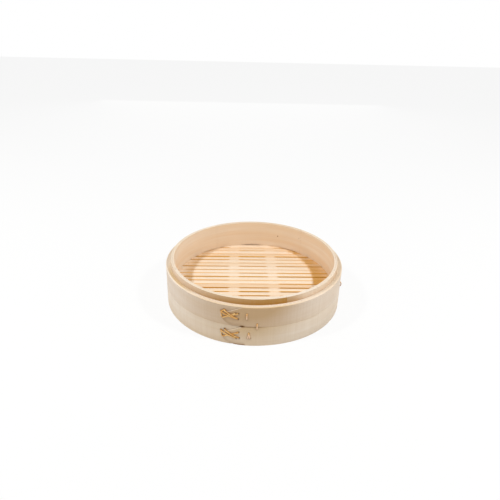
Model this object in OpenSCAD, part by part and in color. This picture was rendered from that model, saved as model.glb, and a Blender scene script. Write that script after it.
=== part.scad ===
// Bamboo steamer basket, one tier. Millimetres, +Z up.
// The origin is the centre of the circle on which the wall stands. Slats run along X.
// The wall is wound from bent strips: two outer bands, two core plies and a rim hoop of
// two plies that stands proud of the wall, so that the next tier or the lid sits over it.
// The floor slats are held between the rim hoop and a support hoop. Under the support
// hoop the wall is a socket that fits over the rim of the tier below.

/* [Wall] */
// Outside diameter over the outer bands
outer_d = 304.8; // [260:0.2:360]
// Height of the wall, from the table to the stacking ledge
wall_h = 69; // [64:1:84]
// Height of the lower outer band
lower_band_h = 34.3; // [31:0.1:37]
// Open seam between the two outer bands
band_seam = 0.4; // [0.2:0.1:1]
// Thickness of an outer band
band_t = 2.5; // [2.2:0.1:3]
// Thickness of each core ply
core_t = 2.4; // [2:0.1:2.8]
// How far the outer core ply stays below the ledge, and above the table
core_drop = 0.4; // [0.1:0.1:1]
// Glue line between two plies
glue = 0.1; // [0.05:0.05:0.3]
// Gap where the two ends of a ply meet
joint_gap = 0.4; // [0.2:0.1:1]
// Chamfer on the long edges of the plies
edge_ease = 0.3; // [0.2:0.1:0.8]

/* [Rim hoop] */
// Thickness of each rim ply
rim_ply_t = 2.9; // [2.4:0.1:3.4]
// How far the rim stands above the ledge
rim_proud = 10; // [6:0.5:10]
// How much the proud part of the rim is pared down on its radius
rim_pare = 0.6; // [0.6:0.05:0.9]
// Space between the rim hoop and the core
hoop_space = 0.3; // [0.2:0.05:0.5]
// Direction of the first end of the short splice on the inner face, in degrees
splice_start_angle = 47; // [40:1:60]
// Direction of the other end of the splice, in degrees
splice_end_angle = 120; // [100:1:125]
// How far the splice stays below the rim's top
splice_drop = 0.4; // [0.1:0.1:1]
// Direction in which the outer rim ply's ends meet, in degrees
rim_joint_angle = -73; // [-80:1:-60]

/* [Socket under the floor] */
// Depth of the socket that takes the rim of the tier below
socket_depth = 11; // [10.5:0.5:13]
// How much the socket is pared out on its radius
socket_pare = 0.6; // [0.6:0.05:0.8]
// Height of the support hoop
support_h = 14.5; // [12:0.5:18]
// Thickness of each support ply
support_ply_t = 2.8; // [2.2:0.1:3.2]
// Direction in which the support plies' ends meet, in degrees
support_joint_angle = 10; // [0:1:20]

/* [Floor] */
// Number of slats
slat_count = 22; // [21:1:22]
// How far the first and last slat's outer edges stay inside the wall, on average
floor_inset = 3.2; // [3:0.1:4]
// How far the pattern of slats is set towards the front
floor_shift = 4.4; // [3:0.1:5]
// Thickness of a slat
slat_t = 4; // [3.6:0.1:5]
// Width of an ordinary slot
slot_w = 2.6; // [1.8:0.1:3]
// Width of a wide slot
wide_slot_w = 3.5; // [2.4:0.1:4]
// Width of a narrow slot
narrow_slot_w = 1.8; // [1.2:0.1:2.4]
// Gap where two slats touch
slat_touch = 0.3; // [0.1:0.05:0.5]
// Length over which the slats touch at each rod
touch_len = 12; // [8:1:20]
// Length over which a slot opens to its full width
slot_run = 6; // [3:1:10]
// How far a narrow slot stops short of the wall
slot_stop = 9; // [6:1:14]
// Diameter of the two rods that string the slats
rod_d = 2.4; // [2:0.1:2.6]
// Distance between the two rods
rod_span = 70; // [60:1:90]
// Room round a rod in its slats
rod_fit = 0.1; // [0.05:0.05:0.2]

/* [Battens] */
// Width of a batten
batten_w = 12; // [10:0.5:14]
// Depth of a batten
batten_depth = 7; // [6:0.5:9]
// Depth of a batten's straight sides above its round underside
batten_side = 2; // [1:0.5:3]
// Room round a batten in the notches of the support hoop
notch_fit = 0.2; // [0.1:0.05:0.4]

/* [Pegs] */
// Diameter of a bamboo peg
peg_d = 2.4; // [1.8:0.1:3]
// Room round a peg in its hole
peg_fit = 0.1; // [0.05:0.05:0.2]
// How far a rim peg is below the ledge
rim_peg_drop = 8; // [6:1:12]
// How far the one low rim peg is below the ledge
low_peg_drop = 15; // [13:1:20]
// Number of pegs in the support hoop
support_peg_count = 8; // [6:1:8]

/* [Laps of the outer bands] */
// Direction of the tip of each band's outer end, in degrees
lap_tip_angle = -110; // [-114:1:-106]
// Angle over which the two ends of a band lie on each other
lap_angle = 30; // [28:1:40]
// Thickness of the outer end at its tip
tip_t = 1.1; // [0.8:0.1:1.6]
// Thickness left on the hidden inner end
hidden_end_t = 0.4; // [0.3:0.1:0.6]
// Gap between the two ends
lap_gap = 0.15; // [0.1:0.05:0.3]
// Height of the tip above the band's lower edge
tip_low = 12.5; // [8:0.5:14]
// Height of the tip itself
tip_h = 7.5; // [5:0.5:10]
// Length over which the outer end narrows to its tip
tip_run = 31; // [24:1:36]

/* [Lacing] */
// Width of the split cane
cane_w = 2.8; // [2:0.1:3]
// Thickness of the split cane
cane_t = 0.8; // [0.5:0.1:1]
// Diameter of the holes for the cane
lace_hole_d = 2.8; // [2.2:0.1:3.2]
// Thickness of the cane where it turns through a hole
cane_turn_d = 1.7; // [1.2:0.1:2]
// Gap between the cane and the band
cane_gap = 0.1; // [0.05:0.05:0.2]
// Length of a lacing, about as far as its outermost holes
lacing_len = 28; // [25:0.5:30]
// Height of a lacing
lacing_h = 13.5; // [11:0.5:15]
// Length of a stitch between its holes
stitch_len = 9.6; // [8:0.2:11]
// How far the upright stitches are below the upper edge of their band
stitch_drop = 15.8; // [13:0.2:18]
// Distance between the two lower holes of the forked stitch
fork_w = 3.6; // [3:0.2:5]

/* [Hidden] */

$fn = 180;
small_fn = 32;

// Radii, from the outside in.
outer_r = outer_d / 2;
band_in = outer_r - band_t;
core_b_out = band_in - glue;
core_b_in = core_b_out - core_t;
core_a_out = core_b_in - glue;
core_a_in = core_a_out - core_t;
hoop_out = core_a_in - hoop_space;
rim_mid_out = hoop_out - rim_ply_t;
rim_mid_in = rim_mid_out - glue;
rim_in = rim_mid_in - rim_ply_t;
support_mid_out = hoop_out - support_ply_t;
support_mid_in = support_mid_out - glue;
support_in = support_mid_in - support_ply_t;
slat_pitch = 2 * (hoop_out - floor_inset) / slat_count;
reach = outer_r + 20;

// Heights, from the table up.
floor_z = socket_depth + support_h;
floor_top = floor_z + slat_t;
rim_top = wall_h + rim_proud;
upper_band_z = lower_band_h + band_seam;
upper_band_h = wall_h - upper_band_z;

// The lap: the inner end thins out under the outer end, along a round face that is off centre.
lap_end = lap_tip_angle + lap_angle;
lap_mid = lap_tip_angle + lap_angle / 2;
blend_step = 0.05;
scarf_high = outer_r - 2 * blend_step;
scarf_low = band_in + hidden_end_t;
scarf_off = (scarf_high - scarf_low) / 2 / sin(lap_angle / 2);
scarf_r = (scarf_high + scarf_low) / 2;
tip_off = (tip_t + lap_gap - blend_step) / (1 - cos(lap_angle));
tip_r = outer_r - blend_step + tip_off;

// Lacings: their directions and heights, and their holes as [along, up] from the middle.
lacing_dir = lap_tip_angle + 4.6;
stitch_upper_dir = lap_tip_angle + 14.4;
stitch_lower_dir = lap_tip_angle + 15.7;
stitch_seam_dir = lap_tip_angle + 20.3;
stitch_side_dir = -14.3;
lacing_up = lacing_h / 10;
upper_mid = upper_band_z + upper_band_h / 2 + lacing_up;
lower_mid = lower_band_h / 2 + lacing_up;
stitch_upper_z = wall_h - stitch_drop;
stitch_lower_z = lower_band_h - stitch_drop;
stitch_seam_z = lower_band_h + stitch_len / 7;
stitch_side_z = upper_band_z + upper_band_h / 4;
upper_holes = laid_out([[-0.5, 0.37], [-0.3, 0.59], [-0.43, -0.41],
                       [0.32, 0.37], [0.48, 0.36], [0.46, -0.37]]);
lower_holes = laid_out([[-0.5, 0.37], [-0.29, 0.56], [-0.43, -0.41],
                       [0.5, 0.41], [0.36, -0.44], [0.53, -0.37]]);
stitch_holes = [[0, stitch_len / 2], [0, -stitch_len / 2]];
forked_holes = [[0, stitch_len / 2], [-fork_w / 2, -stitch_len / 2], [fork_w / 2, -stitch_len / 2]];

// Pegs.
peg_depth = 1.4;
rim_peg_dirs = [splice_start_angle + 2, splice_end_angle + 13, 205, 250, 292, 335];
low_peg_dir = 68;
support_peg_z = socket_depth + support_h / 2;

// Slots that are wider or narrower than the rest, counted from the front.
wide_slots = [7, 8, 9, 12, 15, 18];
narrow_slots = [5, 11, 14, 16, 19, 20];

strip_tan = "#DDBB90";
rim_cream = "#E8CFAC";
slat_yellow = "#EBCB98";
cane_gold = "#D9A05A";
peg_brown = "#A9784A";

function slat_name(n) = str("slat_", n < 10 ? "0" : "", n);

function laid_out(list) = [for (p = list) [p[0] * lacing_len, p[1] * lacing_h]];

function has(list, n) = len([for (v = list) if (v == n) v]) > 0;

// Points of a quadratic curve from a to c that is pulled towards b.
function curve(a, b, c, steps) =
    [for (i = [0 : steps]) let (t = i / steps) a * pow(1 - t, 2) + b * 2 * t * (1 - t) + c * pow(t, 2)];

// --- Strips bent to a circle ---

// A wedge of space between two directions, less than 180 degrees apart.
module sector(from, to, low, high) {
    far = reach / cos((to - from) / 2);
    translate([0, 0, low])
        linear_extrude(high - low)
            polygon([[0, 0], far * [cos(from), sin(from)], far * [cos(to), sin(to)]]);
}

// A ring with chamfered corners.
module ring(r_in, r_out, low, high) {
    e = edge_ease;
    rotate_extrude()
        polygon([[r_in, low + e], [r_in + e, low], [r_out - e, low], [r_out, low + e],
                 [r_out, high - e], [r_out - e, high], [r_in + e, high], [r_in, high - e]]);
}

// The gap where the two ends of a ply meet.
module butt_joint(dir, low, high) {
    rotate([0, 0, dir])
        translate([0, -joint_gap / 2, low])
            cube([reach, joint_gap, high - low]);
}

// Brings a flat outline, drawn as [along, up], onto the wall in one direction, as a prism
// between two radii.
module on_wall(dir, r_from, r_to) {
    rotate([0, 0, dir])
        translate([r_from, 0, 0])
            rotate([90, 0, 90])
                linear_extrude(r_to - r_from)
                    children();
}

// --- Pegs ---

module peg_at(dir, z, r_from, r_to, d) {
    rotate([0, 0, dir])
        translate([r_from, 0, z])
            rotate([0, 90, 0])
                cylinder(h = r_to - r_from, d = d, $fn = small_fn);
}

module rim_peg_row(r_from, r_to, d) {
    for (dir = rim_peg_dirs)
        peg_at(dir, wall_h - rim_peg_drop, r_from, r_to, d);
    peg_at(low_peg_dir, wall_h - low_peg_drop, r_from, r_to, d);
}

module support_peg_row(r_from, r_to, d) {
    for (i = [0 : support_peg_count - 1])
        peg_at((i + 0.5) * 360 / support_peg_count, support_peg_z, r_from, r_to, d);
}

module rim_peg_holes() {
    rim_peg_row(rim_in - 1, core_b_in + peg_depth + peg_fit, peg_d + 2 * peg_fit);
}

module support_peg_holes() {
    support_peg_row(support_in - 1, core_b_in + peg_depth + peg_fit, peg_d + 2 * peg_fit);
}

module rim_pegs() {
    color(peg_brown)
        rim_peg_row(rim_in, core_b_in + peg_depth, peg_d);
}

module support_pegs() {
    color(peg_brown)
        support_peg_row(support_in, core_b_in + peg_depth, peg_d);
}

// --- Rim hoop ---

module rim_ply_outer() {
    pared = hoop_out - rim_pare;
    color(rim_cream)
        difference() {
            union() {
                ring(rim_mid_out, pared, floor_top, rim_top);
                ring(rim_mid_out, hoop_out, floor_top, wall_h);
            }
            butt_joint(rim_joint_angle, floor_top - 1, rim_top + 1);
            rim_peg_holes();
        }
}

// The inner ply is a long strip, whose ends are bridged by a short one.
module inner_rim_ring(high) {
    difference() {
        ring(rim_in, rim_mid_in, floor_top, high);
        butt_joint(splice_start_angle, floor_top - 1, rim_top + 1);
        butt_joint(splice_end_angle, floor_top - 1, rim_top + 1);
        rim_peg_holes();
    }
}

module rim_ply_inner() {
    color(rim_cream)
        difference() {
            inner_rim_ring(rim_top);
            sector(splice_start_angle, splice_end_angle, floor_top - 1, rim_top + 1);
        }
}

module rim_splice() {
    color(rim_cream)
        intersection() {
            inner_rim_ring(rim_top - splice_drop);
            sector(splice_start_angle, splice_end_angle, floor_top - 1, rim_top + 1);
        }
}

// --- Core of the wall ---

module core_ply_inner() {
    color(strip_tan)
        difference() {
            ring(core_a_in, core_a_out, 0, wall_h);
            translate([0, 0, -1])
                cylinder(h = socket_depth + 1, r = core_a_in + socket_pare);
            butt_joint(lap_mid + 180, -1, wall_h + 1);
            rim_peg_holes();
            support_peg_holes();
        }
}

module core_ply_outer() {
    color(strip_tan)
        difference() {
            ring(core_b_in, core_b_out, core_drop, wall_h - core_drop);
            butt_joint(lap_mid + 140, -1, wall_h + 1);
            rim_peg_holes();
            support_peg_holes();
        }
}

// --- Outer bands ---

// The round faces of the lap. Each is off centre, so the wall between them thins towards one end.
module scarf_face(grow, low, high) {
    off = scarf_off * [cos(lap_mid - 90), sin(lap_mid - 90)];
    translate([off[0], off[1], low])
        cylinder(h = high - low, r = scarf_r + grow);
}

module lap_face(grow, low, high) {
    off = tip_off * [cos(lap_end + 180), sin(lap_end + 180)];
    translate([off[0], off[1], low])
        cylinder(h = high - low, r = tip_r + grow);
}

// Outline of the outer end, from its tip to the far end of the lap.
module tip_outline(h) {
    far = outer_r;
    tip = [-outer_r * sin(lap_angle / 2), tip_low];
    below = curve(tip, tip + [tip_run / 5, -tip_low * 0.62], tip + [tip_run, -tip_low], 8);
    above = [[tip[0] + tip_run, h], [tip[0], tip_low + tip_h]];
    polygon(concat(below, [[far, 0], [far, h]], above));
}

// A strip wound once round, with its outer end lapped over its inner end.
module lapped_strip(z, h) {
    top = z + h;
    meet = 0.5;
    difference() {
        cylinder_ring(band_in, outer_r, z, top);
        sector(lap_tip_angle, lap_end, z - 1, top + 1);
    }
    intersection() {
        cylinder_ring(band_in, outer_r, z, top);
        sector(lap_tip_angle - meet, lap_end - meet, z - 1, top + 1);
        scarf_face(0, z - 1, top + 1);
    }
    intersection() {
        difference() {
            lap_face(0, z, top);
            scarf_face(lap_gap, z - 1, top + 1);
        }
        sector(lap_tip_angle, lap_end + meet, z - 1, top + 1);
        translate([0, 0, z])
            on_wall(lap_mid, band_in / 2, reach)
                tip_outline(h);
    }
}

module cylinder_ring(r_in, r_out, low, high) {
    translate([0, 0, low])
        difference() {
            cylinder(h = high - low, r = r_out);
            translate([0, 0, -1])
                cylinder(h = high - low + 2, r = r_in);
        }
}

// All holes and back grooves of the lacings. Each band is cut by those that reach it.
module lacing_cuts() {
    lacing_cut(lacing_dir, upper_mid, upper_holes, [[0, 1], [3, 4], [4, 5]]);
    lacing_cut(lacing_dir, lower_mid, lower_holes, [[0, 1], [3, 5], [4, 5]]);
    lacing_cut(stitch_upper_dir, stitch_upper_z, stitch_holes, [[0, 1]]);
    lacing_cut(stitch_lower_dir, stitch_lower_z, forked_holes, [[0, 1], [0, 2]]);
    lacing_cut(stitch_seam_dir, stitch_seam_z, stitch_holes, [[0, 1]]);
    lacing_cut(stitch_side_dir, stitch_side_z, stitch_holes, [[0, 1]]);
}

module outer_band_upper() {
    color(strip_tan)
        difference() {
            lapped_strip(upper_band_z, upper_band_h);
            lacing_cuts();
        }
}

module outer_band_lower() {
    color(strip_tan)
        difference() {
            lapped_strip(0, lower_band_h);
            lacing_cuts();
        }
}

// --- Lacings and stitches of split cane ---

// The flat outline of a strand between two holes, square at both ends.
module strand_outline(a, b, w) {
    run = b - a;
    translate(a)
        rotate(atan2(run[1], run[0]))
            translate([0, -w / 2])
                square([norm(run), w]);
}

module strands(holes, pairs, w) {
    for (p = pairs)
        strand_outline(holes[p[0]], holes[p[1]], w);
}

module lace_turns(holes, d) {
    for (p = holes)
        translate(p)
            circle(d = d, $fn = small_fn);
}

module lacing_cut(dir, z, holes, back) {
    groove = cane_t + 2 * cane_gap;
    translate([0, 0, z]) {
        on_wall(dir, band_in - 1, reach)
            lace_turns(holes, lace_hole_d);
        intersection() {
            on_wall(dir, band_in - 2, band_in + 4)
                strands(holes, back, cane_w + 4 * cane_gap);
            cylinder_ring(band_in - 2, band_in + groove, -stitch_len * 2, stitch_len * 2);
        }
    }
}

// One lacing, with its strands given as pairs of holes: strands on the band, strands that cross
// over them, the turns through the holes and the strands behind the band. The outside strands
// follow the skin they lie on.
module lacing(dir, z, holes, under, over, back, on_lap) {
    tall = stitch_len * 2;
    level = cane_gap + cane_t;
    translate([0, 0, z]) {
        difference() {
            intersection() {
                on_wall(dir, band_in, reach)
                    strands(holes, under, cane_w);
                skin(level, tall, on_lap);
            }
            skin(cane_gap, tall + 1, on_lap);
        }
        if (len(over) > 0)
            difference() {
                intersection() {
                    on_wall(dir, band_in, reach)
                        strands(holes, over, cane_w);
                    hump(dir, level, tall);
                }
                hump(dir, cane_gap, tall + 1);
            }
        difference() {
            intersection() {
                on_wall(dir, band_in - 1, reach)
                    lace_turns(holes, cane_turn_d);
                skin(level - cane_gap / 2, tall, on_lap);
            }
            translate([0, 0, -tall])
                cylinder(h = 2 * tall, r = band_in + cane_gap + cane_t / 2);
        }
        intersection() {
            on_wall(dir, band_in - 2, band_in + 4)
                strands(holes, back, cane_w);
            cylinder_ring(band_in + cane_gap, band_in + cane_gap + cane_t, -tall, tall);
        }
    }
}

module skin(grow, tall, on_lap) {
    if (on_lap)
        lap_face(grow, -tall, tall);
    else
        translate([0, 0, -tall])
            cylinder(h = 2 * tall, r = outer_r + grow);
}

// A rounder face that meets the lap's skin near the ends of the lacing and rises above it
// between them, where the upper strands cross the lower ones.
module hump(dir, grow, tall) {
    hump_r = outer_r * 0.4;
    rise = 1;
    skin_r = tip_r - tip_off * cos(lap_end - dir);
    rotate([0, 0, dir])
        translate([skin_r + rise - hump_r, 0, -tall])
            cylinder(h = 2 * tall, r = hump_r + grow);
}

module lacing_upper() {
    color(cane_gold)
        lacing(lacing_dir, upper_mid, upper_holes, [[0, 2], [2, 3], [2, 4]], [[0, 5], [1, 5]],
               [[0, 1], [3, 4], [4, 5]], true);
}

module lacing_lower() {
    color(cane_gold)
        lacing(lacing_dir, lower_mid, lower_holes, [[0, 2], [2, 3]], [[0, 4], [1, 5]],
               [[0, 1], [3, 5], [4, 5]], true);
}

module stitch_upper() {
    color(cane_gold)
        lacing(stitch_upper_dir, stitch_upper_z, stitch_holes, [[0, 1]], [], [[0, 1]], true);
}

module stitch_lower() {
    color(cane_gold)
        lacing(stitch_lower_dir, stitch_lower_z, forked_holes, [[0, 1], [0, 2]], [],
               [[0, 1], [0, 2]], true);
}

module stitch_seam() {
    color(cane_gold)
        lacing(stitch_seam_dir, stitch_seam_z, stitch_holes, [[0, 1]], [], [[0, 1]], true);
}

module stitch_side() {
    color(cane_gold)
        lacing(stitch_side_dir, stitch_side_z, stitch_holes, [[0, 1]], [], [[0, 1]], false);
}

// --- Support hoop and battens ---

// A batten is split bamboo: flat on top, round underneath.
module batten_bar(x, grow) {
    w = batten_w + 2 * grow;
    drop = batten_depth - batten_side;
    round_r = (pow(batten_w / 2, 2) + pow(drop, 2)) / (2 * drop) + grow;
    intersection() {
        translate([x - w / 2, -reach, floor_z - batten_depth - grow])
            cube([w, 2 * reach, batten_depth + grow]);
        translate([x, reach, floor_z - batten_depth + round_r - grow])
            rotate([90, 0, 0])
                union() {
                    cylinder(h = 2 * reach, r = round_r);
                    translate([-w / 2, 0, 0])
                        cube([w, batten_depth, 2 * reach]);
                }
    }
}

module batten(x) {
    intersection() {
        batten_bar(x, 0);
        cylinder(h = floor_z, r = hoop_out);
    }
}

module batten_left() {
    color(strip_tan)
        batten(-rod_span / 2);
}

module batten_right() {
    color(strip_tan)
        batten(rod_span / 2);
}

module support_ply(r_in, r_out) {
    difference() {
        ring(r_in, r_out, socket_depth, floor_z);
        butt_joint(support_joint_angle, 0, floor_top);
        batten_bar(-rod_span / 2, notch_fit);
        batten_bar(rod_span / 2, notch_fit);
        support_peg_holes();
    }
}

module support_ply_inner() {
    color(strip_tan)
        support_ply(support_in, support_mid_in);
}

module support_ply_outer() {
    color(strip_tan)
        support_ply(support_mid_out, hoop_out);
}

// --- Floor ---

function slot_y(n) = (n - slat_count / 2) * slat_pitch - floor_shift;

function slot_width(n) =
    has(wide_slots, n) ? wide_slot_w : has(narrow_slots, n) ? narrow_slot_w : slot_w;

// Half the opening of slot n, as [x, half opening] from left to right. The slot closes at each
// rod, and a narrow slot closes before the wall too.
function slot_profile(n) =
    let (
        y = min(abs(slot_y(n)), rim_in - 1),
        open = slot_width(n) / 2,
        shut = slat_touch / 2,
        rod = rod_span / 2,
        near = touch_len / 2,
        wall = sqrt(pow(rim_in, 2) - pow(y, 2)) - slot_stop,
        stops = has(narrow_slots, n) && wall - slot_run > rod + near + slot_run,
        ends = stops ? [[wall - slot_run, open], [wall, shut], [reach, shut]] : [[reach, open]],
        half = concat([[0, open], [rod - near - slot_run, open], [rod - near, shut],
                       [rod + near, shut], [rod + near + slot_run, open]], ends),
        last = len(half) - 1
    )
    concat([for (i = [last : -1 : 1]) [-half[i][0], half[i][1]]], half);

module slat_outline(n) {
    below = [for (p = slot_profile(n - 1)) [p[0], slot_y(n - 1) + p[1]]];
    above = slot_profile(n);
    last = len(above) - 1;
    polygon(concat(below, [for (i = [last : -1 : 0]) [above[i][0], slot_y(n) - above[i][1]]]));
}

module rod_at(x, r, d) {
    half = sqrt(pow(r, 2) - pow(abs(x) + rod_d, 2));
    translate([x, half, floor_z + slat_t / 2])
        rotate([90, 0, 0])
            cylinder(h = 2 * half, d = d, $fn = small_fn);
}

module slat(n) {
    color(slat_yellow)
        difference() {
            intersection() {
                translate([0, 0, floor_z])
                    linear_extrude(slat_t)
                        slat_outline(n);
                cylinder(h = floor_top + 1, r = hoop_out);
            }
            rod_at(-rod_span / 2, reach, rod_d + 2 * rod_fit);
            rod_at(rod_span / 2, reach, rod_d + 2 * rod_fit);
        }
}

module rod_left() {
    color(peg_brown)
        rod_at(-rod_span / 2, hoop_out, rod_d);
}

module rod_right() {
    color(peg_brown)
        rod_at(rod_span / 2, hoop_out, rod_d);
}

rim_ply_inner();
rim_splice();
rim_ply_outer();
rim_pegs();
core_ply_inner();
core_ply_outer();
outer_band_upper();
outer_band_lower();
lacing_upper();
lacing_lower();
stitch_upper();
stitch_lower();
stitch_seam();
stitch_side();
support_ply_inner();
support_ply_outer();
support_pegs();
batten_left();
batten_right();
rod_left();
rod_right();
for (n = [1 : slat_count]) slat(n);
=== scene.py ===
# %% [markdown]
# # A bamboo steamer basket, from sawn strips to a lit picture
#
# One tier of a steamer is all bamboo and cane: long thin strips are bent to circles, laced and
# pegged inside each other, and flat slats make the floor. Each piece is built as a maker would do
# it: strips are sawn straight, eased, whittled and drilled, and only then bent.
#
# The frame of the part is loaded first. It gives every place and radius, so nothing has to be
# fitted by eye. All objects are in metres.

# %% Load the frame
import math
import bmesh
import bpy
from mathutils import Matrix, Quaternion, Vector, noise


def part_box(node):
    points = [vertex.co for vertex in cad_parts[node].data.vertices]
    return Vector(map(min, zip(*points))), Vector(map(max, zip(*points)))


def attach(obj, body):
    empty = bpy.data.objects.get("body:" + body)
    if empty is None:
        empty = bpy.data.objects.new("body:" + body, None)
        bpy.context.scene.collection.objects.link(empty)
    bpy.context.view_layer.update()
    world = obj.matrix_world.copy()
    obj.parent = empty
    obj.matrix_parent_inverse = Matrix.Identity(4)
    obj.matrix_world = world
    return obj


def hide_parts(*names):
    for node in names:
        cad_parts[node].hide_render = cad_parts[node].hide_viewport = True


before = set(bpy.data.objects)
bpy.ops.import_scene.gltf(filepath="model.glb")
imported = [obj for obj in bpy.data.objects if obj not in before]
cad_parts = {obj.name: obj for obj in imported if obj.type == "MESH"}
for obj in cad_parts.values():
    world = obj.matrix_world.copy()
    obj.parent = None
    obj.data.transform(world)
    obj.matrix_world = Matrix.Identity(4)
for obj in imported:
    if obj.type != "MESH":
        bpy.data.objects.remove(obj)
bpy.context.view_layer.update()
MM = 0.001
print("nodes in the frame:", len(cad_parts))

# %% [markdown]
# ## Sizes
#
# The heights and the two main radii are read from the frame. What a box can't tell, such as the
# thickness of a ply inside the wall, is written here in millimetres. The strips lie snugly in each
# other, so two radii and the thicknesses give all the rest.

# %% Radii and heights, in mm
def box_of(node):
    """The two corners of a node's box, in mm."""
    low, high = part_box(node)
    return [c / MM for c in low], [c / MM for c in high]


# Thickness of the strips, and of the glue between them
BAND_T, CORE_T, RIM_PLY_T, SUPPORT_PLY_T = 2.5, 2.4, 2.9, 2.8
GLUE = 0.1
# How much is scraped off the rim's outside and the socket's inside, so that tiers stack easily
RIM_PARE, SOCKET_PARE = 0.6, 0.6
# How far the outer core ply ends under the ledge
CORE_DROP = 0.08
# Rounding of a strip's long edges, and the gap where its ends meet
EASE, JOINT_GAP = 0.3, 0.15

outer_r = box_of("outer_band_lower")[1][0]
hoop_r = box_of("rim_ply_outer")[1][0]
seam_low = box_of("outer_band_lower")[1][2]
seam_high = box_of("outer_band_upper")[0][2]
ledge_z = box_of("core_ply_inner")[1][2]
rim_z = box_of("rim_ply_outer")[1][2]
floor_z, floor_top = box_of("slat_11")[0][2], box_of("slat_11")[1][2]
socket_z = box_of("support_ply_outer")[0][2]
core_low = box_of("core_ply_outer")[0][2]
splice_z = box_of("rim_splice")[1][2]
# Between these heights the rim's outside and the socket's inside get thinner
scrape_to, socket_low = rim_z - 2, socket_z - 0.5

band_in = outer_r - BAND_T
core_b_in = band_in - GLUE - CORE_T
core_a_in = core_b_in - GLUE - CORE_T
rim_mid = hoop_r - RIM_PLY_T
rim_in = rim_mid - GLUE - RIM_PLY_T
print(f"outer radius {outer_r:.1f}, hoop {hoop_r:.1f}, rim inside {rim_in:.1f}")
print(f"ledge {ledge_z:.1f}, rim {rim_z:.1f}, floor {floor_top:.1f}, seam {seam_low:.1f} to {seam_high:.1f}")

# %% [markdown]
# ## The camera
#
# The camera comes first, because it decides which details can be seen at all. It looks down from
# the front, so the floor, the inside of the back wall and the lacings show together, and a slightly
# wide lens from under a metre away gives the rim its strong curve. It could be turned by hand, but
# where it stands, where it looks and a small roll say the same in three lines.

# %% Place the camera
CAMERA_AT = (0, -746.89, 466.71)
CAMERA_AIM = (-7.48, 0.37, 87.40)
# The slats run along X, and the camera doesn't stand quite square to them.
ROLL, SLATS_TURN = 1.489, -2.6
SENSOR_W, LENS = 36, 34.694


def pick_clean():
    """Leaves nothing selected."""
    bpy.ops.object.select_all(action="DESELECT")


facing = Matrix.Rotation(math.radians(SLATS_TURN), 3, "Z")
stand = facing @ Vector(CAMERA_AT) * MM
target = facing @ Vector(CAMERA_AIM) * MM
pick_clean()
bpy.ops.object.camera_add(location=stand)
camera = bpy.context.object
camera.rotation_mode = "QUATERNION"
look = (target - stand).to_track_quat("-Z", "Y")
camera.rotation_quaternion = look @ Quaternion((0, 0, 1), math.radians(ROLL))
camera.data.sensor_width = SENSOR_W
camera.data.lens = LENS
camera.data.clip_end = 20
bpy.context.scene.camera = camera
print("camera distance, mm:", round(stand.length / MM))

# %% [markdown]
# ## Colours and nodes
#
# Colours are written as hex values in sRGB, but a shader works in linear light. One function turns
# the first into the second, so each colour is written as it should look. A second one adds a
# node: its settings, then its inputs. An input is another node, whose first output is linked, or
# one of a node's sockets, or a plain value.

# %% Two helpers for every material
def paint(hex_colour):
    """The linear colour of an sRGB hex value."""
    parts = [int(hex_colour[i:i + 2], 16) / 255 for i in (1, 3, 5)]
    return [c / 12.92 if c < 0.04045 else ((c + 0.055) / 1.055) ** 2.4 for c in parts] + [1.0]


def add(tree, kind, inputs=None, **settings):
    """Adds a node of a kind, with its settings and its inputs."""
    new = tree.nodes.new("ShaderNode" + kind)
    for key, value in settings.items():
        setattr(new, key, value)
    for key, value in (inputs or {}).items():
        if isinstance(value, bpy.types.Node):
            value = next(socket for socket in value.outputs if socket.enabled)
        if isinstance(value, bpy.types.NodeSocket):
            tree.links.new(value, new.inputs[key])
        else:
            new.inputs[key].default_value = value
    return new


def new_material(name):
    """A material that holds only its shader and its output."""
    made = bpy.data.materials.new(name)
    made.use_nodes = True
    return made, made.node_tree, made.node_tree.nodes["Principled BSDF"]


print("cream as linear light:", [round(c, 3) for c in paint("#F3E1CB")])

# %% [markdown]
# ## The floor and the light
#
# The basket stands on a white table in front of white paper. A plane that is simply white turns
# grey where the lamps don't reach, so most of what the camera sees of it is a steady glow. The
# rest is ordinary white, which takes the basket's shadow, and the bamboo is lit only by light
# that the plane really reflects. The glow stops under the basket, where the slots show it.
#
# Two small lamps hang high at the front left and the front right. The wall shades the floor
# beside it from one or the other, which leaves two darker crescents with a clear edge on the
# slats. Three large soft lamps stand low at the sides and behind, which keeps the wall round,
# and the world fills the rest with even light.

# %% The table
GLOW = 0.88
GLOW_FROM, GLOW_FULL = 135, 149

pick_clean()
bpy.ops.mesh.primitive_plane_add(size=8)
table = bpy.context.object
table.name = "table"

# Matt lacquer: white without a highlight.
table_white, tree, shader = new_material("matt_lacquer_white")
shader.inputs["Base Color"].default_value = paint("#F2F2F0")
shader.inputs["Roughness"].default_value = 0.9
glow = add(tree, "Emission", {"Color": paint("#FFFFFF"), "Strength": 1.0})
# Under the basket the table doesn't glow, so the slots are dark when seen from above.
out = add(tree, "VectorMath", {0: add(tree, "TexCoord").outputs["Object"]}, operation="LENGTH")
out = add(tree, "MapRange", {"Value": out.outputs["Value"], "From Min": GLOW_FROM * MM,
                             "From Max": GLOW_FULL * MM, "To Max": GLOW})
part_glow = add(tree, "MixShader", {0: out, 1: shader, 2: glow})
path = add(tree, "LightPath").outputs
seen = path["Is Camera Ray"]
for ray in ("Is Glossy Ray", "Is Transmission Ray"):
    seen = add(tree, "Math", {0: seen, 1: path[ray]}, operation="MAXIMUM")
mixed = add(tree, "MixShader", {0: seen, 1: shader, 2: part_glow})
tree.links.new(mixed.outputs[0], tree.nodes["Material Output"].inputs["Surface"])
table.data.materials.append(table_white)
print(f"the table glows from {GLOW_FROM} to {GLOW_FULL} mm outwards, up to {GLOW}")

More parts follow.
